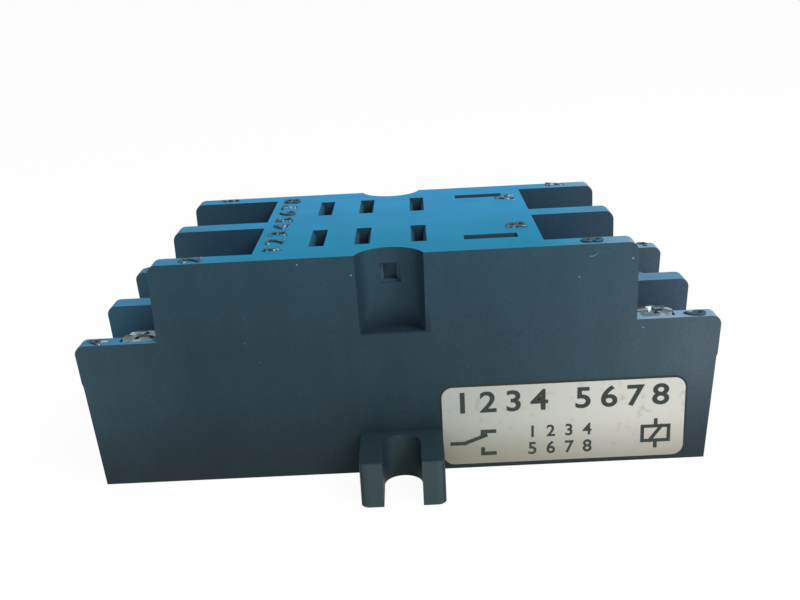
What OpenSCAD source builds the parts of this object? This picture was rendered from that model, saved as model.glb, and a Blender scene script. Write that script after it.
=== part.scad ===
// Two-tier screw-terminal socket for a plug-in relay with eight blades.
// X runs along the length, Y across it and Z up. The origin is the middle of the underside.

/* [Body] */
// Left edge of the relay seat, measured from the middle
seat_left = 18.5; // [17.9:0.1:19.2]
// Right edge of the relay seat, measured from the middle
seat_right = 20.0; // [19.2:0.1:20.6]
// Length of the upper tier beyond the seat's right edge
upper_pocket_len = 11.85; // [10.6:0.05:13]
// Length of the lower tier beyond each end of the upper one
lower_pocket_len = 11.15; // [10.6:0.05:13]
// How far each end leans in between its top and the parting line
rim_draft = 0.25; // [0:0.05:0.5]
// How far each end steps in at the parting line
parting_step = 0.15; // [0:0.05:0.3]
// How far each end leans in below the parting line
end_draft = 0.95; // [0:0.05:1.6]
// Width at the top
body_w = 37.2; // [36.8:0.1:40]
// How far each long face leans in at the underside
side_draft = 1.2; // [0:0.1:1.6]
// Height of the upper tier
body_h = 31.8; // [31:0.1:34]
// Step from the upper tier down to the lower one
tier_step = 10.75; // [10.4:0.05:11.4]
// Height of the parting line on the end faces
parting_z = 15.6; // [14:0.1:18]

/* [Fins and pockets] */
// Thickness of the outer fins at the pockets
outer_fin_t = 3.15; // [2.6:0.05:3.6]
// Thickness of the middle fins
mid_fin_t = 3.5; // [2.6:0.1:4.2]
// Depth of the upper pockets below the fin tops
upper_pocket_depth = 6.5; // [6:0.1:7]
// Depth of the lower pockets below the fin tops
lower_pocket_depth = 6.2; // [5.8:0.1:6.8]
// Radius of the fins' outer top corners
fin_end_r = 1.25; // [0.4:0.05:1.6]
// Width of the relief groove in each lower outer fin
groove_w = 4.4; // [3:0.1:5.4]
// Depth of that groove
groove_depth = 1.75; // [1:0.05:2.4]
// How far that groove lies inwards of its screw
groove_shift = 1.25; // [0.4:0.05:1.6]

/* [Blade slots] */
// Distance of the blade rows from the centre line
blade_row_y = 8.7; // [8.5:0.05:9]
// Distance of the coil blades from the centre line
coil_row_y = 12.2; // [12:0.05:12.5]
// First contact column
contact_1_x = -10.2; // [-10.6:0.1:-9.8]
// Second contact column
contact_2_x = -4.0; // [-4.3:0.05:-3.7]
// Third contact column
contact_3_x = 3.65; // [3.3:0.05:4]
// Distance of the coil column from the seat's right edge
coil_inset = 6.7; // [6.4:0.1:7]
// Length of a contact slot
contact_slot_len = 8.6; // [7.8:0.1:9]
// Length of a coil slot
coil_slot_len = 7.2; // [6.8:0.1:7.8]
// Width of a slot at its bottom
slot_w = 1.2; // [1:0.05:1.5]
// Width of a slot at its mouth
slot_mouth_w = 2.15; // [1.8:0.05:2.8]
// Depth of the sloped lead-in
lead_in_depth = 1.0; // [0.8:0.1:1.8]

/* [Clip scoops] */
// Width of each scoop at the long face
scoop_w = 9.0; // [7:0.1:10]
// Depth of each scoop at the top
scoop_depth = 3.4; // [2.4:0.1:3.6]
// Height of each scoop, from its ledge to the top
scoop_h = 10.9; // [8:0.1:11.6]
// Place of the scoops along the length
scoop_x = -0.4; // [-0.8:0.1:0.8]
// Width of the window for the hold-down clip
window_w = 2.7; // [2:0.1:3.4]
// Height of that window
window_h = 2.7; // [2:0.1:3.4]
// Distance of the window's middle below the top
window_drop = 3.5; // [3:0.1:4.4]
// Width of the step at each side of the window
window_rim = 0.45; // [0.3:0.05:0.7]
// Height of the step above and below the window
window_lip = 0.15; // [0.1:0.05:0.4]
// Depth of that step
window_step = 0.7; // [0.4:0.1:1]
// Depth of the window's inner hole
window_hole_depth = 2.0; // [1.2:0.1:2.2]

/* [Mounting ears] */
// Width of an ear
ear_w = 11.2; // [10.5:0.1:13]
// Thickness of an ear
ear_t = 6.2; // [4:0.1:8]
// How far an ear stands out of the long face
ear_reach = 9.8; // [8.6:0.1:11]
// Width of the open notch in an ear
ear_notch_w = 5.15; // [4.5:0.05:6]
// Wall between the notch and the long face
ear_web = 1.35; // [1:0.05:2]
// Radius of the ear's outer corners
ear_corner_r = 1.2; // [0.5:0.1:2]

/* [Shell] */
// Wall around the space under the terminals
wall = 2.2; // [1.8:0.1:2.4]
// Thickness of the roof over the contacts
roof_t = 2.6; // [2.4:0.1:2.8]
// Thickness of the pocket floors
floor_t = 2.4; // [2:0.1:2.6]
// Thickness of the ribs between the contact cells
rib_t = 1.2; // [1:0.1:1.4]
// Thickness of the long inner wall
spine_t = 2.0; // [1.6:0.1:2.4]
// Room over the lower terminals in the open chamber
chamber_room = 1.9; // [1.4:0.1:2.2]
// Thickness of the base plate
base_plate_t = 1.6; // [1.2:0.1:2]
// How far the base plate sits above the underside
base_inset = 0.2; // [0.1:0.05:0.4]
// Rim of the housing around the base plate
base_rim = 1.4; // [1.2:0.1:1.8]

/* [Terminals] */
// Thickness of the terminal sheet
strip_t = 0.8; // [0.6:0.05:0.9]
// Width of a terminal under its screw
strip_w = 7.2; // [6.6:0.1:7.6]
// Room between a clamp plate and the step behind it
clamp_room = 0.75; // [0.6:0.05:1.4]
// How far a terminal runs outwards past its screw
pad_tail = 4.6; // [4:0.1:5.2]
// Chamfer at a terminal's outer corners
pad_corner = 1.2; // [0.4:0.1:2]
// Length of the tapped collar under a terminal
collar_h = 1.0; // [0.6:0.1:1.2]
// Gap for a blade in a receptacle
blade_gap = 1.0; // [0.8:0.05:1.1]
// Width over the rolled edges of a receptacle
receptacle_w = 7.4; // [7:0.1:7.6]
// Gap between the receptacles and the roof
receptacle_drop = 0.7; // [0.3:0.1:1.2]
// Height of a receptacle's rolled edges
receptacle_h = 9.0; // [7:0.1:9.6]
// Inner radius of the bends
bend_r = 0.5; // [0.4:0.05:0.6]

/* [Screws and clamp plates] */
// Diameter of a terminal screw
screw_d = 3.5; // [3:0.05:3.6]
// Length of a terminal screw below its head
screw_len = 6.4; // [5.6:0.1:6.8]
// Diameter of its pan head
head_d = 6.8; // [6:0.1:7]
// Height of its pan head
head_h = 2.2; // [1.8:0.1:2.4]
// Radius of the head's shoulder
head_shoulder_r = 1.0; // [0.6:0.1:1.2]
// Width of the driver slot
driver_slot_w = 1.0; // [0.8:0.1:1.2]
// Depth of the driver slot
driver_slot_depth = 0.9; // [0.6:0.1:1.2]
// Length of the cross recess
cross_len = 3.6; // [3:0.1:4]
// Depth of the cross recess
cross_depth = 1.3; // [1:0.1:1.5]
// Chamfer at the screw's tip
tip_chamfer = 0.5; // [0.3:0.05:0.8]
// Length of a clamp plate, along X
clamp_len = 7.2; // [6.6:0.1:7.4]
// Width of a clamp plate, across X
clamp_w = 9.6; // [9.4:0.1:10.4]
// Thickness of a clamp plate
clamp_t = 1.0; // [0.8:0.05:1.2]
// How far the side lips of a clamp plate reach down
clamp_lip = 0.45; // [0.3:0.05:0.5]
// Diameter of the base screws
base_screw_d = 2.8; // [2.4:0.1:3]
// Length of the base screws
base_screw_len = 9.0; // [7:0.5:11]
// Distance of the base screws from the middle
base_screw_x = 24.0; // [22:0.5:26]
// Diameter of the base screws' flat heads
base_head_d = 5.4; // [4.6:0.1:6]
// Height of those heads
base_head_h = 1.2; // [1:0.1:1.4]

/* [Label] */
// Length of the label
label_len = 33.0; // [26:0.2:34]
// Height of the label
label_h = 11.7; // [8:0.1:12]
// Thickness of the label
label_t = 0.15; // [0.1:0.01:0.25]
// Left end of the label
label_x = 5.65; // [4.6:0.05:7]
// Lower edge of the label
label_z = 0.7; // [0.3:0.1:2]
// Corner radius of the label
label_r = 1.5; // [0.5:0.1:3]

/* [Hidden] */
$fn = 48;
eps = 0.01;
far = 200;
// Clearances: of a piece in its seat, of a shank that turns, of a clamp plate and of a loose part.
fit_gap = 0.15;
run_gap = 0.05;
plate_gap = 0.1;
loose_gap = 0.3;
cell_gap = 0.4;
tip_gap = 0.5;
boss_wall = 1.9;
post_wall = 1.8;
// Height over which the step at the parting line runs out.
parting_run = 0.5;

TERMINALS = [1, 2, 3, 4, 5, 6, 7, 8];

lower_h = body_h - tier_step;
upper_floor = body_h - upper_pocket_depth;
lower_floor = lower_h - lower_pocket_depth;
face_y = body_w / 2;
foot_y = face_y - side_draft;
draft_angle = atan(side_draft / body_h);
pocket_y0 = mid_fin_t / 2;
pocket_y1 = face_y - outer_fin_t;
pocket_y = (pocket_y0 + pocket_y1) / 2;
upper_end = seat_right + upper_pocket_len;
lower_end = upper_end + lower_pocket_len;
parting_end = lower_end - rim_draft - parting_step;
base_end = parting_end - end_draft;
upper_screw_x = seat_right + clamp_room + clamp_len / 2;
lower_screw_x = upper_end + clamp_room + clamp_len / 2;
coil_x = seat_right - coil_inset;
groove_x = lower_screw_x - groove_shift;

inner_y = foot_y - wall;
roof_z = body_h - roof_t;
chamber_top = lower_floor + strip_t + chamber_room;
base_top = base_inset + base_plate_t;
post_r = base_screw_d / 2 + post_wall;
post_h = base_screw_len + tip_gap + wall / 2;

screw_r = screw_d / 2;
collar_r = screw_r + strip_t;
well_r = screw_r + loose_gap;
well_depth = screw_len - clamp_t - strip_t + tip_gap;
boss_r = well_r + boss_wall;

// Half the depth of a receptacle, and the step from its back to the strip behind a hairpin.
receptacle_half = blade_gap / 2 + strip_t;
hairpin_x = 2 * bend_r + strip_t;
hairpin_z = chamber_top + 2 * loose_gap;
bend_ro = bend_r + strip_t;
receptacle_top = roof_z - receptacle_drop;
back_w = receptacle_w - 2 * receptacle_half;

cell_y0 = blade_row_y - receptacle_w / 2 - cell_gap;
cell_y1 = blade_row_y + receptacle_w / 2 + cell_gap;
coil_cell_y1 = coil_row_y + receptacle_half + cell_gap;
rib_1_x = (contact_1_x + contact_2_x) / 2;
rib_2_x = (contact_2_x + contact_3_x) / 2;
rib_3_x = coil_x - receptacle_w / 2 - cell_gap - rib_t / 2;

ear_tip = foot_y + ear_reach;
ear_notch_y = foot_y + ear_web + ear_notch_w / 2;
scoop_r = (pow(scoop_w / 2, 2) + pow(scoop_depth, 2)) / (2 * scoop_depth);
window_z = body_h - window_drop;

// Terminals 1 to 4 stand in the front row from left to right, 5 to 8 in the back row.
function column(n) = (n - 1) % 4;
function is_left(n) = column(n) < 2;
function is_lower(n) = column(n) == 0 || column(n) == 3;
function side_sign(n) = is_left(n) ? -1 : 1;
function row_sign(n) = n <= 4 ? -1 : 1;
function screw_x(n) = side_sign(n) * (is_lower(n) ? lower_screw_x : upper_screw_x);
function screw_y(n) = row_sign(n) * pocket_y;
function floor_z(n) = is_lower(n) ? lower_floor : upper_floor;
function clamp_z(n) = floor_z(n) + strip_t;
function head_z(n) = clamp_z(n) + clamp_t;
// Each screw was left at its own angle.
function drive_angle(n) = (n * 47) % 180;

module block(from, to) {
    translate(from) cube(to - from);
}

// A copy of the children in the front row and one in the back row.
module both_rows() {
    children();
    mirror([0, 1, 0]) children();
}

module along_y(depth) {
    translate([0, depth / 2, 0]) rotate([90, 0, 0]) linear_extrude(depth) children();
}

module along_x(depth) {
    translate([-depth / 2, 0, 0]) rotate([90, 0, 90]) linear_extrude(depth) children();
}

// ---- Housing ----

module end_half_profile() {
    difference() {
        polygon([
            [-eps, 0],
            [base_end, 0],
            [parting_end, parting_z - parting_run],
            [parting_end + parting_step, parting_z],
            [lower_end, lower_h - fin_end_r],
            [lower_end, lower_h],
            [upper_end, lower_h],
            [upper_end, body_h],
            [-eps, body_h]
        ]);
        for (corner = [[lower_end, lower_h], [upper_end, body_h]])
            translate(corner) round_off(fin_end_r);
    }
}

// What a rounding of radius r takes off an outer corner.
module round_off(r) {
    translate([-r, -r]) difference() {
        square(r + eps);
        circle(r);
    }
}

module body_block() {
    intersection() {
        along_y(far) {
            end_half_profile();
            mirror([1, 0]) end_half_profile();
        }
        along_x(far) polygon([[-foot_y, 0], [foot_y, 0], [face_y, body_h], [-face_y, body_h]]);
    }
}

// A mounting ear with its open notch, rooted half a wall deep in the back long side.
module ear() {
    root = foot_y - wall / 2;
    linear_extrude(ear_t) difference() {
        union() {
            translate([-ear_w / 2, root]) square([ear_w, ear_tip - ear_corner_r - root]);
            translate([-ear_w / 2 + ear_corner_r, root])
                square([ear_w - 2 * ear_corner_r, ear_tip - root]);
            for (s = [-1, 1])
                translate([s * (ear_w / 2 - ear_corner_r), ear_tip - ear_corner_r])
                    circle(ear_corner_r);
        }
        translate([0, ear_notch_y]) circle(ear_notch_w / 2);
        translate([-ear_notch_w / 2, ear_notch_y]) square([ear_notch_w, ear_reach]);
    }
}

module pockets() {
    block([-far, pocket_y0, upper_floor], [-seat_left, pocket_y1, far]);
    block([seat_right, pocket_y0, upper_floor], [far, pocket_y1, far]);
    block([-far, pocket_y0, lower_floor], [-upper_end, pocket_y1, far]);
    block([upper_end, pocket_y0, lower_floor], [far, pocket_y1, far]);
    for (s = [-1, 1])
        translate([s * groove_x - groove_w / 2, pocket_y1 - eps, lower_floor])
            cube([groove_w, groove_depth + eps, far]);
}

// The hollow that guides the hold-down clip, with the stepped window that catches it.
module scoop() {
    back = face_y - scoop_depth;
    translate([scoop_x, back + scoop_r, body_h - scoop_h]) cylinder(r = scoop_r, h = far);
    block([scoop_x - window_w / 2, back - window_step, window_z - window_h / 2],
          [scoop_x + window_w / 2, face_y, window_z + window_h / 2]);
    block([scoop_x - window_w / 2 + window_rim, back - window_hole_depth,
           window_z - window_h / 2 + window_lip],
          [scoop_x + window_w / 2 - window_rim, face_y, window_z + window_h / 2 - window_lip]);
}

// One slot with its sloped lead-in, along Y, with its mouth at the seat.
module blade_slot(length) {
    along_y(length) polygon([
        [-slot_w / 2, -roof_t - eps],
        [slot_w / 2, -roof_t - eps],
        [slot_w / 2, -lead_in_depth],
        [slot_mouth_w / 2, eps],
        [-slot_mouth_w / 2, eps],
        [-slot_w / 2, -lead_in_depth]
    ]);
}

module blade_slots() {
    for (x = [contact_1_x, contact_2_x, contact_3_x])
        translate([x, blade_row_y, body_h]) blade_slot(contact_slot_len);
    translate([coil_x, coil_row_y, body_h]) rotate([0, 0, 90]) blade_slot(coil_slot_len);
}

// The cells that hold the receptacles, open downwards into the chamber.
module cells() {
    bottom = chamber_top - eps;
    block([-seat_left + wall, cell_y0, bottom], [rib_1_x - rib_t / 2, cell_y1, roof_z]);
    block([rib_1_x + rib_t / 2, cell_y0, bottom], [rib_2_x - rib_t / 2, cell_y1, roof_z]);
    block([rib_2_x + rib_t / 2, cell_y0, bottom], [rib_3_x - rib_t / 2, cell_y1, roof_z]);
    block([rib_3_x + rib_t / 2, cell_y0, bottom], [seat_right - wall, coil_cell_y1, roof_z]);
}

// The space under the terminals, from the base plate up to the floors.
module chambers() {
    for (s = [-1, 1]) {
        middle = s < 0 ? rib_2_x - rib_t / 2 : rib_2_x + rib_t / 2;
        seat = s < 0 ? -seat_left : seat_right;
        span_block(middle, s * (upper_end - wall), chamber_top);
        span_block(seat, s * (upper_end - wall), upper_floor - floor_t);
        span_block(s * upper_end, s * (base_end - wall), lower_floor - floor_t);
    }
}

module span_block(x0, x1, top) {
    block([min(x0, x1), spine_t / 2, base_top], [max(x0, x1), inner_y, top]);
}

// The blind holes for the screw tips, wider at the top for the tapped collars.
module wells() {
    for (n = [5:8])
        translate([screw_x(n), screw_y(n), floor_z(n)]) {
            translate([0, 0, -well_depth]) cylinder(r = well_r, h = well_depth + eps);
            translate([0, 0, -collar_h - loose_gap])
                cylinder(r = collar_r + loose_gap, h = collar_h + loose_gap + eps);
        }
}

// The bosses around those holes.
module well_bosses() {
    for (n = [5:8])
        translate([screw_x(n), screw_y(n), floor_z(n) - well_depth - wall])
            cylinder(r = boss_r, h = well_depth + wall - floor_t / 2);
}

// The gaps in the cross walls that the terminals run through.
module strip_gates() {
    for (n = [5:8]) {
        wall_x = is_lower(n) ? side_sign(n) * upper_end : (is_left(n) ? -seat_left : seat_right);
        inside = wall_x - side_sign(n) * (wall + eps);
        outside = wall_x + side_sign(n) * eps;
        block([min(inside, outside), screw_y(n) - strip_w / 2 - fit_gap, floor_z(n)],
              [max(inside, outside), screw_y(n) + strip_w / 2 + fit_gap, clamp_z(n) + fit_gap]);
    }
}

module at_base_screws() {
    for (s = [-1, 1])
        translate([s * base_screw_x, 0, 0]) children();
}

module housing() {
    color("#34465a") {
        difference() {
            union() {
                difference() {
                    body_block();
                    both_rows() {
                        cells();
                        chambers();
                    }
                }
                both_rows() {
                    ear();
                    well_bosses();
                }
                at_base_screws() translate([0, 0, base_top]) cylinder(r = post_r, h = post_h);
            }
            both_rows() {
                pockets();
                scoop();
                blade_slots();
                wells();
                strip_gates();
            }
            block([-base_end + base_rim, -foot_y + base_rim, -eps],
                  [base_end - base_rim, foot_y - base_rim, base_top]);
            at_base_screws()
                cylinder(r = base_screw_d / 2 + run_gap, h = base_inset + base_screw_len + tip_gap);
        }
    }
}

// ---- Base plate and its screws ----

// A flat head's cone, widened by a gap for its seat.
module base_head(gap) {
    cylinder(r1 = base_head_d / 2 + gap, r2 = base_screw_d / 2 + gap, h = base_head_h);
}

module base_plate() {
    half_x = base_end - base_rim - fit_gap;
    half_y = foot_y - base_rim - fit_gap;
    color("#232c33") difference() {
        block([-half_x, -half_y, base_inset], [half_x, half_y, base_top]);
        at_base_screws() {
            cylinder(r = base_screw_d / 2 + fit_gap, h = base_top + eps);
            translate([0, 0, base_inset]) base_head(run_gap);
        }
    }
}

module base_screws() {
    slot_half = 0.35;
    slot_depth = 0.6;
    color("#8d9296") at_base_screws() translate([0, 0, base_inset]) difference() {
        union() {
            base_head(0);
            cylinder(r = base_screw_d / 2, h = base_screw_len);
        }
        block([-far, -slot_half, -eps], [far, slot_half, slot_depth]);
    }
}

// ---- Terminals ----

// Plan of a receptacle: a flat back, at -X, with both edges rolled over the blade.
module receptacle_plan() {
    roll_y = back_w / 2;
    lip = 1.6 * strip_t;
    translate([-receptacle_half, -roll_y]) square([strip_t, back_w]);
    for (s = [-1, 1])
        mirror([0, s < 0 ? 1 : 0]) {
            translate([0, roll_y]) intersection() {
                difference() {
                    circle(receptacle_half);
                    circle(blade_gap / 2);
                }
                translate([-receptacle_half, 0]) square([2 * receptacle_half, receptacle_half]);
            }
            translate([blade_gap / 2, roll_y - lip]) square([strip_t, lip]);
        }
}

module receptacle() {
    translate([0, 0, receptacle_top - receptacle_h]) linear_extrude(receptacle_h) receptacle_plan();
}

// A quarter of a bend, in the quadrant given by two signs.
module quarter_bend(sx, sz) {
    intersection() {
        difference() {
            circle(bend_ro);
            circle(bend_r);
        }
        translate([sx < 0 ? -bend_ro : 0, sz < 0 ? -bend_ro : 0]) square(bend_ro);
    }
}

// Side view of a lower terminal's inner end: the strip turns up into the receptacle's back.
module rising_profile(strip_z) {
    back = -receptacle_half;
    translate([back - bend_ro, strip_z]) square([bend_ro - bend_r, strip_t]);
    translate([back - bend_r, strip_z + bend_ro]) quarter_bend(1, -1);
    translate([back, strip_z + bend_ro]) square([strip_t, receptacle_top - strip_z - bend_ro]);
}

// Side view of an upper terminal's inner end: down, round a hairpin and up to the receptacle.
module hairpin_profile(strip_z) {
    back = -receptacle_half;
    leg = back - hairpin_x;
    turn_z = hairpin_z + bend_ro;
    translate([leg - bend_ro, strip_z]) square([bend_ro - bend_r, strip_t]);
    translate([leg - bend_r, strip_z - bend_r]) quarter_bend(1, 1);
    translate([leg, turn_z]) square([strip_t, strip_z - bend_r - turn_z]);
    translate([leg + bend_ro, turn_z]) {
        quarter_bend(-1, -1);
        quarter_bend(1, -1);
    }
    translate([back, turn_z]) square([strip_t, receptacle_top - turn_z]);
}

// The flat part under the screw, from its outer end at x = 0 inwards, with its tapped collar.
module screw_pad(pad_len) {
    half_w = strip_w / 2;
    difference() {
        union() {
            linear_extrude(strip_t) polygon([
                [0, pad_corner - half_w], [pad_corner, -half_w], [pad_len, -half_w],
                [pad_len, half_w], [pad_corner, half_w], [0, half_w - pad_corner]
            ]);
            translate([pad_tail, 0, -collar_h]) cylinder(r = collar_r, h = collar_h + eps);
        }
        translate([pad_tail, 0, -collar_h - eps])
            cylinder(r = screw_r + run_gap, h = collar_h + strip_t + 2 * eps);
    }
}

// The blade that each terminal takes: the lower ones reach under the upper ones.
function blade_x(n) = [contact_2_x, contact_1_x, coil_x, contact_3_x][column(n)];

// A terminal of the back row whose strip comes in from the left, with its blade at x = 0.
// The pad's outer end lies at -reach.
module contact_terminal(reach, strip_z, lower) {
    bend_start = receptacle_half + bend_r + (lower ? 0 : hairpin_x);
    translate([0, blade_row_y, 0]) {
        receptacle();
        along_y(back_w) {
            if (lower) rising_profile(strip_z);
            else hairpin_profile(strip_z);
        }
    }
    translate([-reach, pocket_y, strip_z]) screw_pad(reach - bend_start);
}

// A coil terminal of the back row: its receptacle is turned, and hangs from the strip's side.
module coil_terminal(reach, strip_z) {
    edge_y = coil_row_y - receptacle_half - hairpin_x - bend_r;
    inside = coil_x - seat_right + wall;
    translate([0, coil_row_y, 0]) rotate([0, 0, 90]) {
        receptacle();
        along_y(back_w) hairpin_profile(strip_z);
    }
    difference() {
        translate([-reach, pocket_y, strip_z]) screw_pad(reach + back_w / 2);
        block([inside, edge_y, 0], [far, far, far]);
    }
}

module terminal(n) {
    s = side_sign(n);
    reach = abs(screw_x(n)) + pad_tail - s * blade_x(n);
    color("#b9b29a") mirror([0, row_sign(n) < 0 ? 1 : 0, 0]) translate([blade_x(n), 0, 0])
        mirror([s > 0 ? 1 : 0, 0, 0]) {
            if (column(n) == 2) coil_terminal(reach, floor_z(n));
            else contact_terminal(reach, floor_z(n), is_lower(n));
        }
}

// ---- Clamp plates and screws ----

module clamp_plate(n) {
    color("#a9adb0") translate([screw_x(n), screw_y(n), clamp_z(n)]) difference() {
        union() {
            block([-clamp_len / 2, -clamp_w / 2, 0], [clamp_len / 2, clamp_w / 2, clamp_t]);
            for (s = [-1, 1])
                translate([-clamp_len / 2, s * (clamp_w / 2 - strip_t / 2) - strip_t / 2, -clamp_lip])
                    cube([clamp_len, strip_t, clamp_lip + eps]);
        }
        translate([0, 0, -eps]) cylinder(r = screw_r + plate_gap, h = clamp_t + 2 * eps);
    }
}

module pan_head_profile() {
    head_r = head_d / 2;
    square([head_r, head_h - head_shoulder_r]);
    square([head_r - head_shoulder_r, head_h]);
    translate([head_r - head_shoulder_r, head_h - head_shoulder_r]) intersection() {
        circle(head_shoulder_r);
        square(head_shoulder_r);
    }
}

module terminal_screw(n) {
    color("#c4c7c6") translate([screw_x(n), screw_y(n), head_z(n)]) rotate([0, 0, drive_angle(n)])
        difference() {
            union() {
                rotate_extrude() pan_head_profile();
                translate([0, 0, tip_chamfer - screw_len])
                    cylinder(r = screw_r, h = screw_len - tip_chamfer + eps);
                translate([0, 0, -screw_len])
                    cylinder(r1 = screw_r - tip_chamfer, r2 = screw_r, h = tip_chamfer);
            }
            block([-far, -driver_slot_w / 2, head_h - driver_slot_depth],
                  [far, driver_slot_w / 2, far]);
            block([-driver_slot_w / 2, -cross_len / 2, head_h - cross_depth],
                  [driver_slot_w / 2, cross_len / 2, far]);
        }
}

// ---- Label ----

module label() {
    color("#e9e6dc") translate([label_x, -foot_y, 0]) rotate([90 + draft_angle, 0, 0])
        translate([0, label_z, 0]) linear_extrude(label_t) {
            translate([label_r, 0]) square([label_len - 2 * label_r, label_h]);
            translate([0, label_r]) square([label_len, label_h - 2 * label_r]);
            for (x = [label_r, label_len - label_r])
                for (y = [label_r, label_h - label_r])
                    translate([x, y]) circle(label_r);
        }
}

housing();
base_plate();
base_screws();
label();
for (n = TERMINALS) {
    terminal(n);
    clamp_plate(n);
    terminal_screw(n);
}
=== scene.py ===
import math
import random

import bmesh
import bpy
from mathutils import Matrix, Vector


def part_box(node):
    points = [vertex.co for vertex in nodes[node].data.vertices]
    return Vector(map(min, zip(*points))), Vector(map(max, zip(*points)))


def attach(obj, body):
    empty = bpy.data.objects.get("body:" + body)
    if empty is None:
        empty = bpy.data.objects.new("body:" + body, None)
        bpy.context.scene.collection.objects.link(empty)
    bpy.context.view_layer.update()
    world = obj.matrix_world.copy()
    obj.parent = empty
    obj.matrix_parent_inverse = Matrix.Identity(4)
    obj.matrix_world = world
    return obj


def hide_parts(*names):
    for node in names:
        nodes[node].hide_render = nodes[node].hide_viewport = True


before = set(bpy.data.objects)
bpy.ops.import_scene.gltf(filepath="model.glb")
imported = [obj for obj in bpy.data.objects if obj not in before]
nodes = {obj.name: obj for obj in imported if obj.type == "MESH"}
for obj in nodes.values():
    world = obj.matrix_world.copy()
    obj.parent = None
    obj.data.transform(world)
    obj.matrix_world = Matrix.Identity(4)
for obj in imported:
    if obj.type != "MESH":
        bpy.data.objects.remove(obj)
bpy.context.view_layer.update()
scene = bpy.context.scene
mm = 0.001  # sizes and places below are in millimetres
terminalNumbers = range(1, 9)


def linear(hexColour):
    channels = [int(hexColour[i:i + 2], 16) / 255 for i in (1, 3, 5)]
    return tuple(c / 12.92 if c <= 0.04045 else ((c + 0.055) / 1.055) ** 2.4 for c in channels) + (1.0,)


# A material, its shader, and the shader's values that are the same all over.
def newMaterial(name, fixed=None):
    material = bpy.data.materials.new(name)
    material.use_nodes = True
    bsdf = material.node_tree.nodes["Principled BSDF"]
    for socket, value in (fixed or {}).items():
        bsdf.inputs[socket].default_value = value
    return material, bsdf


# Adds a node: settings are its own properties, and inputs hold values or sockets to link from.
def addNode(material, kind, inputs=None, **settings):
    tree = material.node_tree
    node = tree.nodes.new(kind)
    for name, value in settings.items():
        setattr(node, name, value)
    for socket, value in (inputs or {}).items():
        if isinstance(value, bpy.types.NodeSocket):
            tree.links.new(value, node.inputs[socket])
        else:
            node.inputs[socket].default_value = value
    return node


# Grain whose lumps are about sizeMm across, stretched per axis where asked.
def grain(material, sizeMm, detail=2.0, stretch=(1, 1, 1)):
    place = addNode(material, "ShaderNodeTexCoord").outputs["Object"]
    scaled = addNode(material, "ShaderNodeMapping", {"Vector": place, "Scale": stretch}).outputs[0]
    return addNode(material, "ShaderNodeTexNoise",
                   {"Vector": scaled, "Scale": 1 / (sizeMm * mm), "Detail": detail}).outputs["Fac"]


# A mask from steps of a value and its limits: it rises softly from 0 at the first number of a limit
# to upTo at the second, and all of the limits have to be passed.
def where(material, *steps, upTo=1.0):
    mask = None
    for value, *limits in steps:
        for start, end in limits:
            step = addNode(material, "ShaderNodeMapRange",
                           {"Value": value, "From Min": start, "From Max": end,
                            "To Max": upTo if mask is None else 1.0},
                           interpolation_type="SMOOTHSTEP").outputs["Result"]
            mask = step if mask is None else addNode(
                material, "ShaderNodeMath", {0: mask, 1: step}, operation="MULTIPLY").outputs[0]
    return mask


# Lays colours over a first one, each through its mask. A colour is a hex value or a socket.
def layered(material, colour, *layers):
    colour = linear(colour) if isinstance(colour, str) else colour
    for mask, over in layers:
        over = linear(over) if isinstance(over, str) else over
        colour = addNode(material, "ShaderNodeMix", {"Factor": mask, "A": colour, "B": over},
                         data_type="RGBA").outputs["Result"]
    return colour


# Darker and paler by up to change, as a pattern goes through its usual values.
def mottled(material, colour, pattern, usual, change):
    value = addNode(material, "ShaderNodeMapRange",
                    {"Value": pattern, "From Min": usual[0], "From Max": usual[1],
                     "To Min": 1 - change, "To Max": 1 + change}).outputs["Result"]
    return addNode(material, "ShaderNodeHueSaturation", {"Value": value, "Color": colour}).outputs["Color"]


# Colours at places along a value, blended in between.
def ramp(material, value, stops):
    low, high = stops[0][0], stops[-1][0]
    share = addNode(material, "ShaderNodeMapRange", {"Value": value, "From Min": low, "From Max": high})
    node = addNode(material, "ShaderNodeValToRGB", {"Fac": share.outputs["Result"]})
    elements = node.color_ramp.elements
    while len(elements) < len(stops):
        elements.new(0.5)
    for element, (place, colour) in zip(elements, stops):
        element.position = (place - low) / (high - low)
        element.color = linear(colour)
    return node.outputs["Color"]


# How far the surface still faces as its flat does: 1 on flats, less along sharp edges about widthMm wide.
def edgeMatch(material, widthMm):
    rounded = addNode(material, "ShaderNodeBevel", {"Radius": widthMm * mm}, samples=4).outputs["Normal"]
    flat = addNode(material, "ShaderNodeNewGeometry").outputs["True Normal"]
    return addNode(material, "ShaderNodeVectorMath", {0: rounded, 1: flat},
                   operation="DOT_PRODUCT").outputs["Value"]


# A colour, with one fine pattern for the roughness between two values and for a bump.
def surface(material, bsdf, colour, fine=None, rough=None, strength=0.0, depthMm=0.0):
    links = material.node_tree.links
    links.new(colour, bsdf.inputs["Base Color"])
    if fine is None:
        return
    spread = addNode(material, "ShaderNodeMapRange", {"Value": fine, "To Min": rough[0], "To Max": rough[1]})
    links.new(spread.outputs["Result"], bsdf.inputs["Roughness"])
    bump = addNode(material, "ShaderNodeBump",
                   {"Height": fine, "Strength": strength, "Distance": depthMm * mm})
    links.new(bump.outputs["Normal"], bsdf.inputs["Normal"])


def meshOf(name, builder):
    mesh = bpy.data.meshes.new(name)
    builder.to_mesh(mesh)
    builder.free()
    return mesh


def linked(name, data):
    piece = bpy.data.objects.new(name, data)
    scene.collection.objects.link(piece)
    return piece


def meshPiece(name, builder, material):
    piece = linked(name, meshOf(name, builder))
    piece.data.materials.append(material)
    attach(piece, "socket")
    return piece


digitShare = 0.72  # height of a digit over the font's size


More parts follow.
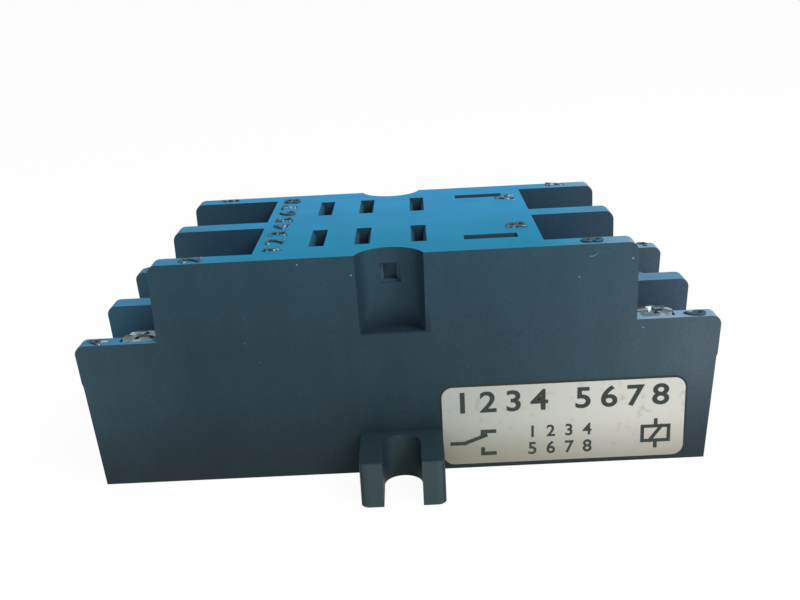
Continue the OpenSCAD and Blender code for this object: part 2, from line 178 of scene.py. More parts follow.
# A line of plain characters, not placed yet.
def lettering(name, words, height, spacing, offset, extrude, material):
    letters = bpy.data.curves.new(name, "FONT")
    letters.body = words
    letters.align_x, letters.align_y = "CENTER", "CENTER"
    letters.size = height / digitShare * mm
    letters.space_character = spacing
    letters.offset, letters.extrude = offset * mm, extrude * mm
    letters.materials.append(material)
    return linked(name, letters)


edgeLook = {"weldMm": 0.001, "flatAngle": 0.5, "sharpAngle": 30, "segments": 2}


# Softens the sharp edges of a CAD node without touching its own mesh.
def roundEdges(node, widthMm):
    weld = node.modifiers.new("weld", "WELD")
    weld.merge_threshold = edgeLook["weldMm"] * mm
    flat = node.modifiers.new("flat", "DECIMATE")
    flat.decimate_type = "DISSOLVE"
    flat.angle_limit = math.radians(edgeLook["flatAngle"])
    bevel = node.modifiers.new("edges", "BEVEL")
    bevel.width, bevel.segments = widthMm * mm, edgeLook["segments"]
    bevel.limit_method = "ANGLE"
    bevel.angle_limit = math.radians(edgeLook["sharpAngle"])
    bevel.use_clamp_overlap = True
    bevel.harden_normals = False
    smooth = node.modifiers.new("normals", "WEIGHTED_NORMAL")
    smooth.keep_sharp = False
    for face in node.data.polygons:
        face.use_smooth = True


def paint(node, material):
    node.data.materials.clear()
    node.data.materials.append(material)


# The moulding's own place in millimetres, and its distance from the middle along each axis.
def mouldPlace(material):
    place = addNode(material, "ShaderNodeTexCoord", object=nodes["housing"]).outputs["Object"]
    place = addNode(material, "ShaderNodeVectorMath", {0: place, "Scale": 1 / mm},
                    operation="SCALE").outputs[0]
    away = addNode(material, "ShaderNodeVectorMath", {0: place}, operation="ABSOLUTE").outputs[0]
    return [addNode(material, "ShaderNodeSeparateXYZ", {"Vector": v}).outputs for v in (place, away)]


# Names that end in X, Y or Z are limits on a place, those in Facing are limits on the way a face looks.
housingLook = {
    # The slate and the inner slate grow paler towards both ends: painted light from the sides.
    "slate": ((-42, "#2c434e"), (-28, "#1f353e"), (0, "#213740"), (14, "#253b46"), (27, "#2f444f"),
              (40, "#42525c")),
    "innerSlate": ((-42, "#30546a"), (-33, "#2c4656"), (-24, "#1d3b4f"), (24, "#243f53"), (36, "#334554"),
                   (42, "#3b4f60")),
    "innerX": (6.0, 6.5), "innerY": (15.8, 15.2),
    "headSlate": "#25485a", "headZ": (18, 31), "headShare": 0.3,
    # Darker towards the foot: painted shade.
    "footShade": "#1c272a", "footShadeZ": (16, 0), "footShadeShare": 0.8,
    "cloudMm": 3.5, "cloudStretch": (1, 1, 0.3), "fineCloudMm": 0.4, "cloudUsual": (0.12, 0.4),
    "cloudChange": 0.08,
    "earSlate": "#334346", "earFaceY": (26.8, 27.0), "earFaceShare": 0.9,
    "notchX": (3.5, 3.0), "notchY": ((18.0, 18.2), (26.4, 26.2)), "notchZ": (12.0, 11.5),
    "notchFacing": (0.3, 0.1), "notchShare": 0.6,
    # This dark colour is painted shade in recesses.
    "paintedShade": "#13222e", "paintedShadeShare": 0.6,
    "scoopX": (5.6, 5.0), "scoopFacing": (0.6, 0.85),
    "scoopFootX": (4.8, 4.5), "scoopFootZ": ((24.5, 21.3), (20.5, 20.8)),
    "cornerMm": 6, "cornerOpen": (0.4, 0.0), "cornerY": (20.5, 18.5),
    "coilX": ((8.0, 8.5), (19.5, 19.0)), "coilY": (15.5, 15.0), "coilFacing": (0.95, 0.8),
    # The paler window colour is painted light that lifts the shade inside the clip windows.
    "paintedWindowLight": "#395462", "windowX": ((-1.9, -1.8), (1.1, 1.0)), "windowY": ((12.4, 12.5), (15.0, 14.9)),
    "windowZ": ((26.8, 26.9), (29.8, 29.7)),
    # These colours are a painted sheen, standing in for a reflection of bluish light from above.
    "paintedSheenFront": "#1d789a", "paintedSheenBack": "#3287b4", "paintedSheenBackY": (-20, 18),
    "paintedSheenLeft": "#40799b", "paintedSheenLeftX": (-18, -36),
    "paintedSheenRight": "#7898ac", "paintedSheenMidRight": "#557d98", "paintedSheenRightX": (20, 36), "paintedSheenOuterY": (3, 6),
    "upperZ": (29.6, 30.2), "lowerX": (31.6, 31.9), "lowerZ": (19.5, 20.3),
    "finFacing": (0.15, 0.75), "seatX": (20.5, 20.0), "seatFacing": (0.25, 0.85), "flatFacing": (0.8, 0.95),
    "mottleMm": 6.0, "mottleUsual": (0.3, 0.7), "mottleChange": 0.07,
    "gloss": 0.15, "paintedSheenGloss": 0.02,
    "edgeMm": 0.18,
}
# Real moulding grain is finer than a tenth of a millimetre, and is drawn coarser so that it shows.
mouldedSkin = {"grainMm": 0.3, "rough": (0.5, 0.66), "strength": 0.2, "depthMm": 0.05}


# The slate: paler towards both ends as painted light from the sides, bluer at the head and on inner walls,
# and darker at the foot as painted shade.
def slateColour(material, place, away):
    look = housingLook
    body = layered(material, ramp(material, place["X"], look["slate"]),
                   (where(material, (place["Z"], look["headZ"]), upTo=look["headShare"]), look["headSlate"]),
                   (where(material, (place["Z"], look["footShadeZ"]), upTo=look["footShadeShare"]), look["footShade"]),
                   (where(material, (away["Y"], look["innerY"]), (away["X"], look["innerX"])),
                    ramp(material, place["X"], look["innerSlate"])))
    cloud = addNode(material, "ShaderNodeMath",
                    {0: grain(material, look["cloudMm"], 3.0, look["cloudStretch"]),
                     1: grain(material, look["fineCloudMm"], 1.0)}, operation="MULTIPLY").outputs[0]
    return mottled(material, body, cloud, look["cloudUsual"], look["cloudChange"])


# Painted shade at the sides and the foot of the scoops, in the coil slots and in closed corners.
def paintedShadeMask(material, place, away, facing):
    look = housingLook
    sideways = addNode(material, "ShaderNodeMath", {0: facing["X"]}, operation="ABSOLUTE").outputs[0]
    openness = addNode(material, "ShaderNodeAmbientOcclusion", {"Distance": look["cornerMm"] * mm},
                       samples=6).outputs["AO"]
    areas = (
        ((away["X"], look["scoopX"]), (sideways, look["scoopFacing"])),
        ((away["X"], look["scoopFootX"]), (place["Z"], *look["scoopFootZ"])),
        ((openness, look["cornerOpen"]), (away["Y"], look["cornerY"])),
        ((place["X"], *look["coilX"]), (away["Y"], look["coilY"]), (facing["Z"], look["coilFacing"])),
    )
    paintedShade = 0.0
    for steps in areas:
        paintedShade = addNode(material, "ShaderNodeMath",
                        {0: paintedShade, 1: where(material, *steps, upTo=look["paintedShadeShare"])},
                        operation="MAXIMUM").outputs[0]
    return paintedShade


# Painted sheen, standing in for a reflection of bluish light from above, lies on the seat and on the fin
# tops, not on the ears, the ledges or the pocket floors.
def paintedSheenMask(material, place, away, facing):
    look = housingLook
    tiers = addNode(material, "ShaderNodeMath",
                    {0: where(material, (place["Z"], look["upperZ"])),
                     1: where(material, (away["X"], look["lowerX"]), (place["Z"], look["lowerZ"]))},
                    operation="MAXIMUM").outputs[0]
    upward = where(material, (facing["Z"], look["finFacing"]))
    for area, limit in (((away["X"], look["seatX"]), look["seatFacing"]),
                        ((place["X"], *look["coilX"]), look["flatFacing"])):
        upward = addNode(material, "ShaderNodeMix",
                         {"Factor": where(material, area), "A": upward,
                          "B": where(material, (facing["Z"], limit))}).outputs["Result"]
    return addNode(material, "ShaderNodeMath", {0: upward, 1: tiers}, operation="MULTIPLY").outputs[0]


# Moulded phenolic: a dull, dark slate, with a painted steel-blue sheen on its upward faces that stands in for
# a reflection of bluish light.
def phenolic():
    look, skin = housingLook, mouldedSkin
    material, bsdf = newMaterial("moulded phenolic")
    place, away = mouldPlace(material)
    normal = addNode(material, "ShaderNodeNewGeometry").outputs["True Normal"]
    facing = addNode(material, "ShaderNodeSeparateXYZ", {"Vector": normal}).outputs
    colour = layered(
        material, slateColour(material, place, away),
        (where(material, (away["Y"], look["earFaceY"]), upTo=look["earFaceShare"]), look["earSlate"]),
        (where(material, (away["Y"], *look["notchY"]), (facing["Z"], look["notchFacing"]),
               (away["X"], look["notchX"]), (place["Z"], look["notchZ"]), upTo=look["notchShare"]),
         look["earSlate"]),
        (paintedShadeMask(material, place, away, facing), look["paintedShade"]),
        # Painted light: the clip windows are painted paler to lift their shade.
        (where(material, (place["X"], *look["windowX"]), (place["Z"], *look["windowZ"]),
               (away["Y"], *look["windowY"])), look["paintedWindowLight"]))
    # The painted sheen is paler at the back and at both ends, palest at the right end, where the light falls
    # strongest.
    rightPaintedSheen = layered(material, look["paintedSheenMidRight"],
                         (where(material, (away["Y"], look["paintedSheenOuterY"])), look["paintedSheenRight"]))
    paintedSheen = layered(material, look["paintedSheenFront"],
                    (where(material, (place["Y"], look["paintedSheenBackY"])), look["paintedSheenBack"]),
                    (where(material, (place["X"], look["paintedSheenLeftX"])), look["paintedSheenLeft"]),
                    (where(material, (place["X"], look["paintedSheenRightX"])), rightPaintedSheen))
    paintedSheen = mottled(material, paintedSheen, grain(material, look["mottleMm"], 3.0), look["mottleUsual"],
                    look["mottleChange"])
    paintedSheenAmount = paintedSheenMask(material, place, away, facing)
    surface(material, bsdf, layered(material, colour, (paintedSheenAmount, paintedSheen)), grain(material, skin["grainMm"]),
            skin["rough"], skin["strength"], skin["depthMm"])
    gloss = addNode(material, "ShaderNodeMapRange",
                    {"Value": paintedSheenAmount, "To Min": look["gloss"], "To Max": look["paintedSheenGloss"]})
    material.node_tree.links.new(gloss.outputs["Result"], bsdf.inputs["Specular IOR Level"])
    return material


paint(nodes["housing"], phenolic())
roundEdges(nodes["housing"], housingLook["edgeMm"])
print("housing")

basePlateLook = {"colour": "#1f2427", "paler": "#2c3235", "fibreMm": 0.8, "fibreStretch": (0.2, 1, 1),
                 "edgeMm": 0.15}


# Stamped laminate sheet: flat black with a faint fibre grain.
def laminate():
    look = basePlateLook
    material, bsdf = newMaterial("laminate sheet", {"Roughness": 0.6, "Specular IOR Level": 0.3})
    fibres = grain(material, look["fibreMm"], 3.0, look["fibreStretch"])
    surface(material, bsdf, layered(material, look["colour"], (fibres, look["paler"])))
    return material


paint(nodes["base_plate"], laminate())
roundEdges(nodes["base_plate"], basePlateLook["edgeMm"])
print("base plate")

# Each plating has its bright colour, its dull colour and its roughness. Real scuffs are only a few
# hundredths of a millimetre wide, and are drawn wider so that they show.
metalLook = {
    "zinc": ("#a9adab", "#84898a", (0.25, 0.45)),
    "tin": ("#b3aea2", "#8f897c", (0.3, 0.5)),
    "nickel": ("#b9b4a8", "#8e8a80", (0.2, 0.4)),
    "patchMm": 1.6, "scuffMm": 0.3, "scuffStretch": (1, 0.25, 1), "strength": 0.2, "depthMm": 0.03,
    "edgeMm": 0.08,
}


# A plated metal: brightish, with duller patches and a fine scuff.
def plated(name, plating):
    look = metalLook
    bright, dull, rough = look[plating]
    material, bsdf = newMaterial(name, {"Metallic": 1.0})
    colour = layered(material, bright, (grain(material, look["patchMm"], 3.0), dull))
    surface(material, bsdf, colour, grain(material, look["scuffMm"], 2.0, look["scuffStretch"]), rough,
            look["strength"], look["depthMm"])
    return material


zincSteel = plated("zinc-plated steel", "zinc")
tinBrass = plated("tin-plated brass", "tin")
paint(nodes["base_screws"], plated("nickel-plated steel", "nickel"))
roundEdges(nodes["base_screws"], metalLook["edgeMm"])
for n in terminalNumbers:
    paint(nodes[f"terminal_{n}"], tinBrass)
    paint(nodes[f"clamp_plate_{n}"], zincSteel)
    roundEdges(nodes[f"clamp_plate_{n}"], metalLook["edgeMm"])
print("metal parts")

# The screws stand where the CAD ones do; their thread, softer head and recess are drawn here. Their
# scuffs are drawn wider than real ones too.
screwLook = {
    "headRadius": 3.4, "headHeight": 2.2, "shoulder": 1.0, "dome": 0.12, "neck": 0.2, "neckDrop": 0.3,
    "flatRadius": 1.4, "flatDrop": 0.03, "headSides": 64, "shoulderSteps": 8,
    "crest": 1.75, "root": 1.42, "pitch": 0.8, "length": 6.4, "tip": 0.5,
    "ridgeShare": 0.36, "ridgeFlat": 1.15, "threadSides": 40, "threadLayers": 90,
    "slotWidth": 1.0, "slotDepth": 0.9, "crossLength": 3.6, "crossWidth": 1.0, "crossDepth": 1.3,
    "crossTaper": 0.72, "cutLength": 9, "cutHeight": 2,
    "edgeMm": 0.07, "edgeAngle": 35, "turns": (60, 20, 75, 100, 140, 35, 160, 80),
    # The dark colour paints reflections of dark surroundings, and the palest one paints highlights along the
    # edges.
    "zinc": "#93abb0", "paintedDarkReflection": "#52656b", "paintedDarkReflectionMm": 2.2, "paintedDarkReflectionUsual": (0.38, 0.62),
    "paintedGlint": "#e6edea", "paintedGlintMm": 0.12, "glintSpreadMm": 0.5, "glintSpreadUsual": (0.4, 0.55),
    "edgeLimit": (0.99, 0.9), "scuffMm": 0.25, "scuffStretch": (1, 0.3, 1), "rough": (0.2, 0.45),
    "strength": 0.35, "depthMm": 0.05,
}


# A box for cutting, from its floor up, with the floor drawn in by taper.
def cuttingBox(width, length, depth, taper=1.0):
    height = screwLook["cutHeight"]
    builder = bmesh.new()
    bmesh.ops.create_cube(builder, size=1.0)
    for vertex in builder.verts:
        shrink = taper if vertex.co.z < 0 else 1.0
        vertex.co = Vector((vertex.co.x * width * shrink, vertex.co.y * length * shrink,
                            vertex.co.z * height + screwLook["headHeight"] - depth + height / 2)) * mm
    return linked("cutter", meshOf("cutter", builder))


def ringOf(builder, radius, height, sides):
    return [builder.verts.new(Vector((radius * math.cos(2 * math.pi * k / sides),
                                      radius * math.sin(2 * math.pi * k / sides), height)) * mm)
            for k in range(sides)]


# The head turned from its side profile, then cut with a driver slot and a cross.
def screwHead():
    look = screwLook
    neck, sides, top = look["crest"] - look["neck"], look["headSides"], look["headHeight"]
    profile = [(neck, -look["neckDrop"]), (neck, 0.0), (look["headRadius"], 0.0)]
    shoulderFoot = top - look["dome"] - look["shoulder"]
    for step in range(look["shoulderSteps"] + 1):
        turn = step / look["shoulderSteps"] * math.pi / 2
        profile.append((look["headRadius"] - look["shoulder"] * (1 - math.cos(turn)),
                        shoulderFoot + look["shoulder"] * math.sin(turn)))
    profile.append((look["flatRadius"], top - look["flatDrop"]))
    builder = bmesh.new()
    rings = [ringOf(builder, radius, height, sides) for radius, height in profile]
    for lower, upper in zip(rings, rings[1:]):
        for k in range(sides):
            builder.faces.new((lower[k], lower[(k + 1) % sides], upper[(k + 1) % sides], upper[k]))
    middle = builder.verts.new(Vector((0, 0, top)) * mm)
    for k in range(sides):
        builder.faces.new((rings[-1][k], rings[-1][(k + 1) % sides], middle))
    builder.faces.new(rings[0][::-1])
    head = linked("cutter", meshOf("cutter", builder))
    cutters = [cuttingBox(look["slotWidth"], look["cutLength"], look["slotDepth"]),
               cuttingBox(look["crossLength"], look["crossWidth"], look["crossDepth"], look["crossTaper"]),
               cuttingBox(look["crossWidth"], look["crossLength"], look["crossDepth"], look["crossTaper"])]
    for cutter in cutters:
        cut = head.modifiers.new("recess", "BOOLEAN")
        cut.operation, cut.object, cut.solver = "DIFFERENCE", cutter, "EXACT"
    bevel = head.modifiers.new("edges", "BEVEL")
    bevel.width, bevel.segments, bevel.angle_limit = look["edgeMm"] * mm, 2, math.radians(look["edgeAngle"])
    cleaned = bpy.data.meshes.new_from_object(head.evaluated_get(bpy.context.evaluated_depsgraph_get()))
    for leftover in cutters + [head]:
        bpy.data.objects.remove(leftover)
    return cleaned


# A right-hand thread as one skin: its radius follows a ridge that climbs with the angle.
def screwThread(builder):
    look = screwLook
    sides, layers = look["threadSides"], look["threadLayers"]
    grid = []
    for layer in range(layers + 1):
        height = -look["length"] * layer / layers
        ring = []
        for k in range(sides):
            phase = (height / look["pitch"] - k / sides) % 1.0
            ridge = max(0.0, 1 - abs(phase - 0.5) / look["ridgeShare"])
            radius = look["root"] + (look["crest"] - look["root"]) * min(1.0, ridge * look["ridgeFlat"])
            fromTip = look["length"] + height
            if fromTip < look["tip"]:
                radius = min(radius, look["crest"] - look["tip"] + fromTip)
            angle = 2 * math.pi * k / sides
            ring.append(builder.verts.new(Vector((radius * math.cos(angle), radius * math.sin(angle),
                                                  height)) * mm))
        grid.append(ring)
    for upper, lower in zip(grid, grid[1:]):
        for k in range(sides):
            builder.faces.new((upper[k], lower[k], lower[(k + 1) % sides], upper[(k + 1) % sides]))
    builder.faces.new(grid[-1][::-1])


# Zinc-plated screw steel, painted darker in patches as reflections of dark surroundings, with pale painted
# highlights along its edges.
def screwMetal():
    look = screwLook
    material, bsdf = newMaterial("zinc screw steel with painted glints", {"Metallic": 1.0})
    zincShows = where(material, (grain(material, look["paintedDarkReflectionMm"], 3.0), look["paintedDarkReflectionUsual"]))
    paintedGlint = where(material, (edgeMatch(material, look["paintedGlintMm"]), look["edgeLimit"]),
                   (grain(material, look["glintSpreadMm"], 3.0), look["glintSpreadUsual"]))
    colour = layered(material, look["paintedDarkReflection"], (zincShows, look["zinc"]), (paintedGlint, look["paintedGlint"]))
    surface(material, bsdf, colour, grain(material, look["scuffMm"], 2.0, look["scuffStretch"]),
            look["rough"], look["strength"], look["depthMm"])
    return material


screwBuilder = bmesh.new()
screwBuilder.from_mesh(screwHead())
screwThread(screwBuilder)
for face in screwBuilder.faces:
    face.smooth = True
screwMesh = meshOf("terminal screw", screwBuilder)
screwMesh.materials.append(screwMetal())
for n in terminalNumbers:
    lowest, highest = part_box(f"terminal_screw_{n}")
    piece = linked(f"threaded_screw_{n}", screwMesh)
    piece.location = ((lowest[0] + highest[0]) / 2, (lowest[1] + highest[1]) / 2,
                      highest[2] - screwLook["headHeight"] * mm)
    piece.rotation_euler.z = math.radians(screwLook["turns"][n - 1])
    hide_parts(f"terminal_screw_{n}")
    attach(piece, f"screw_{n}")
print("terminal screws")

markLook = {
    "rise": 0.28, "bevelShare": 0.2, "weight": 0.03,
    "finX": {"lower": 39.9, "upper": 26.2}, "finY": 17.15, "finHeight": 2.75,
    "top": {"lower": 21.05, "upper": 31.8},
    "front": "4286", "back": "3175",
    # name, words, x, y, height, width, spacing and weight of the marks on the seat
    "seat": (("raised_seat_numbers", "12345678", -15.9, 0.2, 2.6, 1.5, 1.5, -0.07),
             ("raised_letter_A", "A", 17.4, 9.9, 2.8, 1.3, 1.0, 0.03),
             ("raised_letter_B", "B", 17.4, -7.4, 2.6, 1.3, 1.0, 0.03)),
    # The pale colour is a painted highlight along the marks' edges.
    "slate": "#233f50", "paintedGlint": "#93b2be", "gloss": 0.15,
    "paintedGlintMm": 0.08, "edgeLimit": (0.99, 0.9), "glintSpreadMm": 0.5, "glintSpreadUsual": (0.43, 0.55),
}


# Phenolic of the raised marks: dark slate, with pale painted highlights along some of its edges.
def phenolicWithGlints():
    look, skin = markLook, mouldedSkin
    material, bsdf = newMaterial("phenolic with painted glints", {"Specular IOR Level": look["gloss"]})
    paintedGlint = where(material, (edgeMatch(material, look["paintedGlintMm"]), look["edgeLimit"]),
                   (grain(material, look["glintSpreadMm"], 3.0), look["glintSpreadUsual"]))
    surface(material, bsdf, layered(material, look["slate"], (paintedGlint, look["paintedGlint"])),
            grain(material, skin["grainMm"]), skin["rough"], skin["strength"], skin["depthMm"])
    return material


glintedPhenolic = phenolicWithGlints()


# Plain characters standing proud of the moulding, half sunk so that they join it.
def raisedMark(name, words, x, y, top, height, width, spacing, weight):
    rise, bevelled = markLook["rise"], markLook["bevelShare"]
    piece = lettering(name, words, height, spacing, weight, rise * (1 - bevelled), glintedPhenolic)
    piece.data.bevel_depth = rise * bevelled * mm
    piece.location = Vector((x, y, top)) * mm
    piece.rotation_euler.z = math.pi / 2
    piece.scale.x = width
    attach(piece, "socket")


for row, side in (("front", -1), ("back", 1)):
    for column, digit in enumerate(markLook[row]):
        tier = "lower" if column in (0, 3) else "upper"
        raisedMark(f"raised_number_{digit}", digit, (-1 if column < 2 else 1) * markLook["finX"][tier],
                   side * markLook["finY"], markLook["top"][tier], markLook["finHeight"], 1.0, 1.0,
                   markLook["weight"])
for name, words, x, y, height, width, spacing, weight in markLook["seat"]:
    raisedMark(name, words, x, y, markLook["top"]["upper"], height, width, spacing, weight)
print("raised marks")

labelLook = {
    "left": 5.65, "right": 38.65, "bottom": 0.7, "top": 12.4, "corner": 1.5, "cornerSteps": 8,
    "thickness": 0.15, "footY": 17.4, "lean": math.atan(1.2 / 31.8),
    # The colours on the right are paler: painted light from the right.
    "topLeft": "#a2a7a1", "topRight": "#bdbdb7", "lowLeft": "#838172", "lowRight": "#9c988e",
    "rightX": (6, 34), "lowZ": (8, 0.5),
    "stain": "#85847b", "rimZ": (2.2, 0.6), "rimShare": 0.35,
    "stainMm": 1.4, "stainUsual": (0.56, 0.75), "stainShare": 0.4,
    "edgeBand": "#1d2324", "edgeBandPaler": "#33393a", "edgeBandMm": 1.2, "edgeBandInner": (-0.05, 0.06),
    "edgeBandOuter": (0.3, 0.02),
    "ink": "#1a2321", "paleInk": "#37413f", "inkMm": 0.4, "inkRise": 0.012, "inkThick": 0.01,
    "strokeStep": 0.002,
    # name, words, x, y, height, weight, spacing and width
    "lines": (("label_numbers", "1234 5678", 21.9, 9.9, 3.1, 0.085, 1.45, 1.12),
              ("label_row_1", "1 2 3 4", 21.7, 5.2, 1.75, 0.05, 1.25, 1.0),
              ("label_row_2", "5 6 7 8", 21.7, 2.6, 1.85, 0.05, 1.2, 1.0)),
    # x, y and stroke weight of each sign, and its strokes from point to point
    "signs": {
        "label_contact_sign": (9.8, 3.9, 0.55, (
            (-2.9, 0.0, -1.2, 0.0), (-1.2, 0.0, 1.7, 1.1), (2.9, 1.7, 1.3, 1.7), (1.3, 1.7, 1.3, 1.2),
            (2.9, -1.7, 1.3, -1.7), (1.3, -1.7, 1.3, -1.0))),
        "label_coil_sign": (34.8, 4.15, 0.5, (
            (-1.8, -1.1, 1.8, -1.1), (1.8, -1.1, 1.8, 1.1), (1.8, 1.1, -1.8, 1.1), (-1.8, 1.1, -1.8, -1.1),
            (-0.8, -1.1, 0.8, 1.1), (0, 1.1, 0, 2.0), (0, -1.1, 0, -2.0))),
    },
}


# Matt label stock, printed paper: cool off-white, paler towards the right as painted light, that turns to tan
# near the lower edge, with faint stains.
def labelPaper():
    look = labelLook
    material, bsdf = newMaterial("label stock", {"Roughness": 0.55, "Specular IOR Level": 0.3})
    place = mouldPlace(material)[0]
    paintedLightRightward = where(material, (place["X"], look["rightX"]))
    cool = layered(material, look["topLeft"], (paintedLightRightward, look["topRight"]))
    tan = layered(material, look["lowLeft"], (paintedLightRightward, look["lowRight"]))
    stains = where(material, (grain(material, look["stainMm"], 4.0), look["stainUsual"]),
                   upTo=look["stainShare"])
    surface(material, bsdf, layered(
        material, cool, (where(material, (place["Z"], look["lowZ"])), tan),
        (where(material, (place["Z"], look["rimZ"]), upTo=look["rimShare"]), look["stain"]),
        (stains, look["stain"])))
    return material


# Printing ink: near black and matt, a little worn.
def inkMaterial():
    look = labelLook
    material, bsdf = newMaterial("printing ink", {"Roughness": 0.5, "Specular IOR Level": 0.3})
    worn = grain(material, look["inkMm"], 3.0)
    surface(material, bsdf, layered(material, look["ink"], (worn, look["paleInk"])))
    return material


# A dark, dull band along the label's edge, with paler patches.
def labelEdgeBandMaterial():
    look = labelLook
    material, bsdf = newMaterial("dark label edge band", {"Roughness": 0.7, "Specular IOR Level": 0.2})
    palePatches = grain(material, look["edgeBandMm"], 3.0)
    surface(material, bsdf, layered(material, look["edgeBand"], (palePatches, look["edgeBandPaler"])))
    return material


# Puts a piece on the label: x along the object, y up its leaning face, out away from it.
def onLabel(piece, x, y, out):
    lean = labelLook["lean"]
    across, upwards = Vector((1, 0, 0)), Vector((0, -math.sin(lean), math.cos(lean)))
    outwards = across.cross(upwards)
    place = Vector((0, -labelLook["footY"], 0)) + across * x + upwards * y + outwards * out
    turned = Matrix((across, upwards, outwards)).transposed().to_4x4()
    piece.matrix_world = Matrix.Translation(place * mm) @ turned


def printedText(name, words, x, y, height, weight, spacing, width):
    piece = lettering(name, words, height, spacing, weight, labelLook["inkThick"], printingInk)
    onLabel(piece, x, y, labelLook["thickness"] + labelLook["inkRise"])
    piece.scale.x = width
    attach(piece, "socket")


# Straight strokes of a printed sign, each a thin bar, and each a little higher than the last one.
def printedStrokes(name, x, y, weight, strokes):
    builder = bmesh.new()
    for order, (x0, y0, x1, y1) in enumerate(strokes):
        start, end = Vector((x0, y0, 0)), Vector((x1, y1, 0))
        along = (end - start).normalized() * weight / 2
        aside = Vector((-along.y, along.x, 0))
        raised = Vector((0, 0, labelLook["inkRise"] + labelLook["strokeStep"] * order))
        corners = [start - along - aside, end + along - aside, end + along + aside, start - along + aside]
        lower = [builder.verts.new(c * mm) for c in corners]
        upper = [builder.verts.new((c + raised) * mm) for c in corners]
        builder.faces.new(upper)
        for k in range(4):
            builder.faces.new((lower[k], lower[(k + 1) % 4], upper[(k + 1) % 4], upper[k]))
    onLabel(meshPiece(name, builder, printingInk), x, y, labelLook["thickness"])


# The label's outline, grown outwards and raised.
def labelOutline(builder, grow, raised):
    look = labelLook
    radius, steps = look["corner"] + grow, look["cornerSteps"]
    right, left = look["right"] - look["corner"], look["left"] + look["corner"]
    top, bottom = look["top"] - look["corner"], look["bottom"] + look["corner"]
    points = []
    for k, (x, y) in enumerate(((right, top), (left, top), (left, bottom), (right, bottom))):
        for step in range(steps + 1):
            turn = (k + step / steps) * math.pi / 2
            points.append(builder.verts.new(Vector((x + radius * math.cos(turn), y + radius * math.sin(turn),
                                                    raised)) * mm))
    return points


paint(nodes["label"], labelPaper())
edgeBandBuilder = bmesh.new()
inner = labelOutline(edgeBandBuilder, *labelLook["edgeBandInner"])
outer = labelOutline(edgeBandBuilder, *labelLook["edgeBandOuter"])
for k in range(len(inner)):
    following = (k + 1) % len(inner)
    edgeBandBuilder.faces.new((inner[k], outer[k], outer[following], inner[following]))
onLabel(meshPiece("label_dark_edge_band", edgeBandBuilder, labelEdgeBandMaterial()), 0, 0, 0)
printingInk = inkMaterial()
for line in labelLook["lines"]:
    printedText(*line)
for name, sign in labelLook["signs"].items():
    printedStrokes(name, *sign)
print("label")

# The front flecks are each x, y up the face and radius; those on the seat have x, y and radius, and are
# painted glints at the back edges of the slots.
speckLook = {
    "colour": "#8a9ea6", "shade": "#6f828b", "fibreMm": 0.2,
    "seed": 7, "count": 6, "radius": (0.03, 0.07), "awayX": (8, 29), "upY": (14, 30), "uneven": (0.6, 1.1),
    "front": ((-12.3, 31.0, 0.14), (-5.4, 29.2, 0.12), (31.1, 29.6, 0.15), (24.2, 27.4, 0.1),
              (32.7, 19.9, 0.12)),
    "seat": ((-4.7, 13.1, 0.14), (3.2, 13.1, 0.16), (9.3, 12.9, 0.12)),
    "tick": ((12.3, 26.75), (13.3, 26.3), (13.3, 26.45), (12.5, 26.95)),
    "scratch": ((26.7, 30.8), (26.5, 30.45), (26.05, 30.2), (25.5, 30.15)), "scratchHalf": 0.03,
    "lift": 0.01,
}


def flatFace(builder, corners):
    builder.faces.new([builder.verts.new(Vector((x, y, speckLook["lift"])) * mm) for x, y in corners])


# One flat, uneven fleck, lying on the plane of its own mesh.
def addFleck(builder, chance, x, y, radius):
    uneven = speckLook["uneven"]
    flatFace(builder, [(x + radius * chance.uniform(*uneven) * math.cos(k),
                        y + radius * chance.uniform(*uneven) * math.sin(k)) for k in range(6)])


# Lint and scuffs, and painted glints on the seat: pale, dull fibres.
def lintAndGlintMaterial():
    look = speckLook
    material, bsdf = newMaterial("pale lint, scuffs and painted glints", {"Roughness": 0.8, "Specular IOR Level": 0.1})
    fibres = grain(material, look["fibreMm"])
    surface(material, bsdf, layered(material, look["colour"], (fibres, look["shade"])))
    return material


lintAndGlints = lintAndGlintMaterial()
chance = random.Random(speckLook["seed"])
for side, turn in (("front", 0.0), ("back", math.pi)):
    flecks = bmesh.new()
    for _ in range(speckLook["count"]):
        x = chance.choice((-1, 1)) * chance.uniform(*speckLook["awayX"])
        addFleck(flecks, chance, x, chance.uniform(*speckLook["upY"]), chance.uniform(*speckLook["radius"]))
    if side == "front":
        for x, y, radius in speckLook["front"]:
            addFleck(flecks, chance, x, y, radius)
        half = speckLook["scratchHalf"]
        for (x0, y0), (x1, y1) in zip(speckLook["scratch"], speckLook["scratch"][1:]):
            flatFace(flecks, ((x0, y0 - half), (x1, y1 - half), (x1, y1 + half), (x0, y0 + half)))
        tick = bmesh.new()
        flatFace(tick, speckLook["tick"])
        onLabel(meshPiece("dark_tick", tick, glintedPhenolic), 0, 0, speckLook["lift"])
    piece = meshPiece(f"lint_{side}", flecks, lintAndGlints)
    onLabel(piece, 0, 0, speckLook["lift"])
    piece.matrix_world = Matrix.Rotation(turn, 4, "Z") @ piece.matrix_world
# Painted glints on the seat, at the back edges of the slots.
flecks = bmesh.new()
for x, y, radius in speckLook["seat"]:
    addFleck(flecks, chance, x, y, radius)
piece = meshPiece("painted_glints_seat", flecks, lintAndGlints)
piece.location.z = (markLook["top"]["upper"] + speckLook["lift"]) * mm
print("specks and scratches")

roomLook = {
    "skyLight": 0.55, "keyWatts": 2.2, "keyPlace": (250, -250, 350), "keyMm": 300,
    "floor": "#fafaf8", "floorWhite": 0.95, "floorHalfMm": 6000,
}
world = bpy.data.worlds.new("soft studio")
scene.world = world
world.use_nodes = True


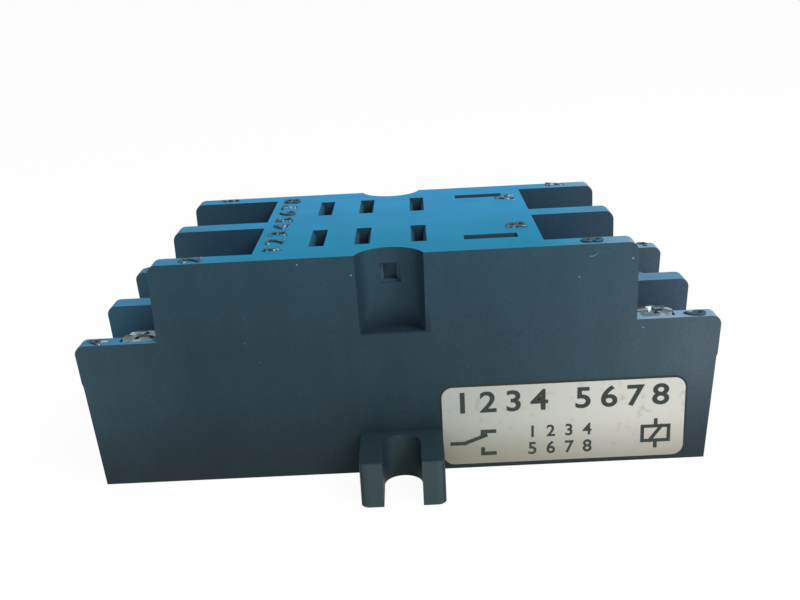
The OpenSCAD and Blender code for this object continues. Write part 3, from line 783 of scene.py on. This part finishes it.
# 1 for the rays that show the backdrop, straight or in metal, and 0 for the rays that light the object.
def backdropRays(holder):
    rays = addNode(holder, "ShaderNodeLightPath").outputs
    seen = addNode(holder, "ShaderNodeMath", {0: rays["Is Camera Ray"], 1: rays["Is Glossy Ray"]},
                   operation="MAXIMUM").outputs[0]
    return addNode(holder, "ShaderNodeMath", {0: seen, 1: rays["Is Transmission Ray"]},
                   operation="MAXIMUM").outputs[0]


background = world.node_tree.nodes["Background"]
background.inputs["Color"].default_value = (1, 1, 1, 1)
strength = addNode(world, "ShaderNodeMapRange",
                   {"Value": backdropRays(world), "To Min": roomLook["skyLight"], "To Max": 1.0})
world.node_tree.links.new(strength.outputs["Result"], background.inputs["Strength"])

# A matt pale floor that shows near white, and keeps a faint shadow.
floorMaterial, floorShader = newMaterial("pale floor", {
    "Base Color": linear(roomLook["floor"]), "Roughness": 0.9, "Specular IOR Level": 0.0})
whiten = addNode(floorMaterial, "ShaderNodeMath",
                 {0: backdropRays(floorMaterial), 1: roomLook["floorWhite"]}, operation="MULTIPLY").outputs[0]
glow = addNode(floorMaterial, "ShaderNodeEmission", {"Strength": 1.0}).outputs[0]
mixed = addNode(floorMaterial, "ShaderNodeMixShader",
                {0: whiten, 1: floorShader.outputs[0], 2: glow}).outputs[0]
floorMaterial.node_tree.links.new(mixed, floorMaterial.node_tree.nodes["Material Output"].inputs["Surface"])
floorBuilder = bmesh.new()
bmesh.ops.create_grid(floorBuilder, x_segments=1, y_segments=1, size=roomLook["floorHalfMm"] * mm)
floor = linked("floor", meshOf("floor", floorBuilder))
floor.data.materials.append(floorMaterial)

keyLamp = bpy.data.lights.new("key", "AREA")
keyLamp.energy, keyLamp.size = roomLook["keyWatts"], roomLook["keyMm"] * mm
key = linked("key", keyLamp)
key.location = Vector(roomLook["keyPlace"]) * mm
key.rotation_euler = (-key.location).to_track_quat("-Z", "Y").to_euler()
print("room")

cameraLook = {
    "lens": 46.36, "sensor": 36, "near": 10, "far": 20000,
    "place": (3.077, -146.255, 68.111), "yaw": -1.0321, "pitch": 18.4548, "roll": -3.1618,
}
yaw, pitch, roll = (math.radians(cameraLook[k]) for k in ("yaw", "pitch", "roll"))
forward = Vector((math.sin(yaw) * math.cos(pitch), math.cos(yaw) * math.cos(pitch), -math.sin(pitch)))
level = Vector((math.cos(yaw), -math.sin(yaw), 0))
upright = level.cross(forward)
sideways = level * math.cos(roll) + upright * math.sin(roll)
upwards = upright * math.cos(roll) - level * math.sin(roll)
lens = bpy.data.cameras.new("camera")
lens.lens, lens.sensor_width = cameraLook["lens"], cameraLook["sensor"]
lens.clip_start, lens.clip_end = cameraLook["near"] * mm, cameraLook["far"] * mm
camera = linked("camera", lens)
camera.matrix_world = (Matrix.Translation(Vector(cameraLook["place"]) * mm)
                       @ Matrix((sideways, upwards, -forward)).transposed().to_4x4())
scene.camera = camera
scene.view_settings.view_transform = "Standard"
print("camera")
